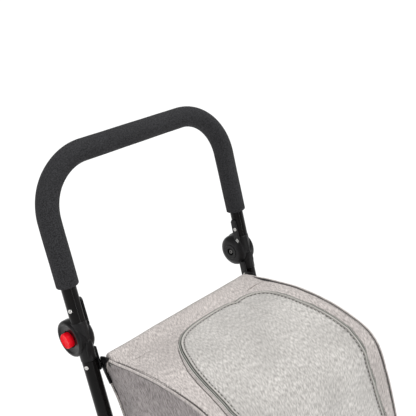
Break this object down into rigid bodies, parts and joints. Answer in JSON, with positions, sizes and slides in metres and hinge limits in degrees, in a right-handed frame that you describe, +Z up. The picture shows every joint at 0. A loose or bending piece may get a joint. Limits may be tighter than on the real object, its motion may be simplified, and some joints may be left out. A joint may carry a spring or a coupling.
{
  "type": "four-wheeled push trolley with fabric bag",
  "caption": "Four-wheeled push trolley: tubular frame, tilting padded U handle on push-button hinges, grey fabric bag with a zipped lid.",
  "frame": {"origin": "on the floor, under the middle of the bounding box", "axes": "+Z up, -Y is the way the trolley rolls, the handle is at +Y, -X is the pusher's right"},
  "size_m": [0.5446, 0.5122, 1.0372],
  "materials": {
    "paint": "gloss black powder coat",
    "plastic": "satin black moulding",
    "foam": "matte charcoal foam",
    "steel": "zinc plated",
    "red": "satin red moulding",
    "fabric": "grey melange polyester, fine twill",
    "board": "dark lining over a stiff board",
    "rubber": "matte black rubber",
    "grey": "satin grey moulding"
  },
  "bodies": {
    "frame": {"axle_block_left": "plastic", "axle_block_right": "plastic", "bag_base_board": "board", "bag_body": "fabric", "base_tray": "plastic", "caster_housing_left": "plastic", "caster_housing_right": "plastic", "corner_clip_left": "plastic", "corner_clip_right": "plastic", "cross_tube_base_front": "paint", "cross_tube_base_rear": "paint", "cross_tube_low": "paint", "cross_tube_middle": "paint", "frame_tube_left": "paint", "frame_tube_right": "paint", "hanger_rod": "steel", "hinge_lower_left": "plastic", "hinge_lower_right": "plastic", "leg_bracket_left": "plastic", "leg_bracket_right": "plastic", "pivot_bolt_left": "steel", "pivot_bolt_right": "steel", "pivot_nut_left": "steel", "pivot_nut_right": "steel", "rear_axle": "steel", "rear_leg_left": "paint", "rear_leg_right": "paint", "rivet_lower_left": "steel", "rivet_lower_right": "steel", "zip_slider": "steel"},
    "lid": {"bag_lid": "fabric"},
    "brake": {"brake_bar": "paint", "brake_pedal_pad": "rubber"},
    "caster_left": {"caster_axle_left": "steel", "caster_fork_left": "plastic"},
    "caster_right": {"caster_axle_right": "steel", "caster_fork_right": "plastic"},
    "caster_wheel_left": {"caster_rim_left": "grey", "caster_tyre_left": "rubber"},
    "caster_wheel_right": {"caster_rim_right": "grey", "caster_tyre_right": "rubber"},
    "handle": {"foam_grip": "foam", "handle_tube": "paint", "hinge_upper_left": "plastic", "hinge_upper_right": "plastic", "release_spring_left": "steel", "release_spring_right": "steel", "rivet_upper_left": "steel", "rivet_upper_right": "steel"},
    "gear_left": {"lock_gear_left": "steel"},
    "gear_right": {"lock_gear_right": "steel"},
    "rear_wheel_left": {"rear_rim_left": "grey", "rear_tyre_left": "rubber", "wheel_cap_left": "plastic"},
    "rear_wheel_right": {"rear_rim_right": "grey", "rear_tyre_right": "rubber", "wheel_cap_right": "plastic"},
    "button_left": {"release_button_left": "red"},
    "button_right": {"release_button_right": "red"},
    "zip_puller": {"zip_puller": "steel"}
  },
  "joints": [
    {"name": "handle_tilt", "type": "hinge", "parent": "frame", "child": "handle", "pos_m": [0, 0.17084, 0.73807], "axis": [1, 0, 0], "range_deg": [-165, 0]},
    {"name": "button_left_press", "type": "slide", "parent": "frame", "child": "button_left", "axis": [-1, 0, 0], "range_m": [0, 0.004], "stiffness_N_per_m": 1200, "springref_m": -0.002},
    {"name": "button_right_press", "type": "slide", "parent": "frame", "child": "button_right", "axis": [1, 0, 0], "range_m": [0, 0.004], "stiffness_N_per_m": 1200, "springref_m": -0.002},
    {"name": "gear_left_slide", "type": "slide", "parent": "handle", "child": "gear_left", "axis": [-1, 0, 0], "range_m": [0, 0.004], "deforming": ["release_spring_left"]},
    {"name": "gear_right_slide", "type": "slide", "parent": "handle", "child": "gear_right", "axis": [1, 0, 0], "range_m": [0, 0.004], "deforming": ["release_spring_right"]},
    {"name": "lid_hinge", "type": "hinge", "parent": "frame", "child": "lid", "pos_m": [0, -0.24948, 0.45025], "axis": [1, 0, 0], "range_deg": [0, 110]},
    {"name": "zip_puller_hinge", "type": "hinge", "parent": "frame", "child": "zip_puller", "pos_m": [0.158, -0.2559, 0.4402], "axis": [-1, 0, 0], "range_deg": [0, 120]},
    {"name": "rear_wheel_left_spin", "type": "hinge", "parent": "frame", "child": "rear_wheel_left", "pos_m": [0.245, 0.144, 0.09], "axis": [1, 0, 0], "continuous": true},
    {"name": "rear_wheel_right_spin", "type": "hinge", "parent": "frame", "child": "rear_wheel_right", "pos_m": [-0.245, 0.144, 0.09], "axis": [1, 0, 0], "continuous": true},
    {"name": "caster_left_swivel", "type": "hinge", "parent": "frame", "child": "caster_left", "pos_m": [0.2, -0.204, 0.112], "axis": [0, 0, 1], "continuous": true},
    {"name": "caster_right_swivel", "type": "hinge", "parent": "frame", "child": "caster_right", "pos_m": [-0.2, -0.204, 0.112], "axis": [0, 0, 1], "continuous": true},
    {"name": "caster_wheel_left_spin", "type": "hinge", "parent": "caster_left", "child": "caster_wheel_left", "pos_m": [0.2, -0.176, 0.05], "axis": [1, 0, 0], "continuous": true},
    {"name": "caster_wheel_right_spin", "type": "hinge", "parent": "caster_right", "child": "caster_wheel_right", "pos_m": [-0.2, -0.176, 0.05], "axis": [1, 0, 0], "continuous": true},
    {"name": "brake_press", "type": "hinge", "parent": "frame", "child": "brake", "pos_m": [0, 0.11969, 0.195], "axis": [-1, 0, 0], "range_deg": [0, 25]}
  ],
  "couplings": [
    {"joint": "gear_left_slide", "follows": "button_left_press", "ratio": 1},
    {"joint": "gear_right_slide", "follows": "button_right_press", "ratio": 1}
  ]
}
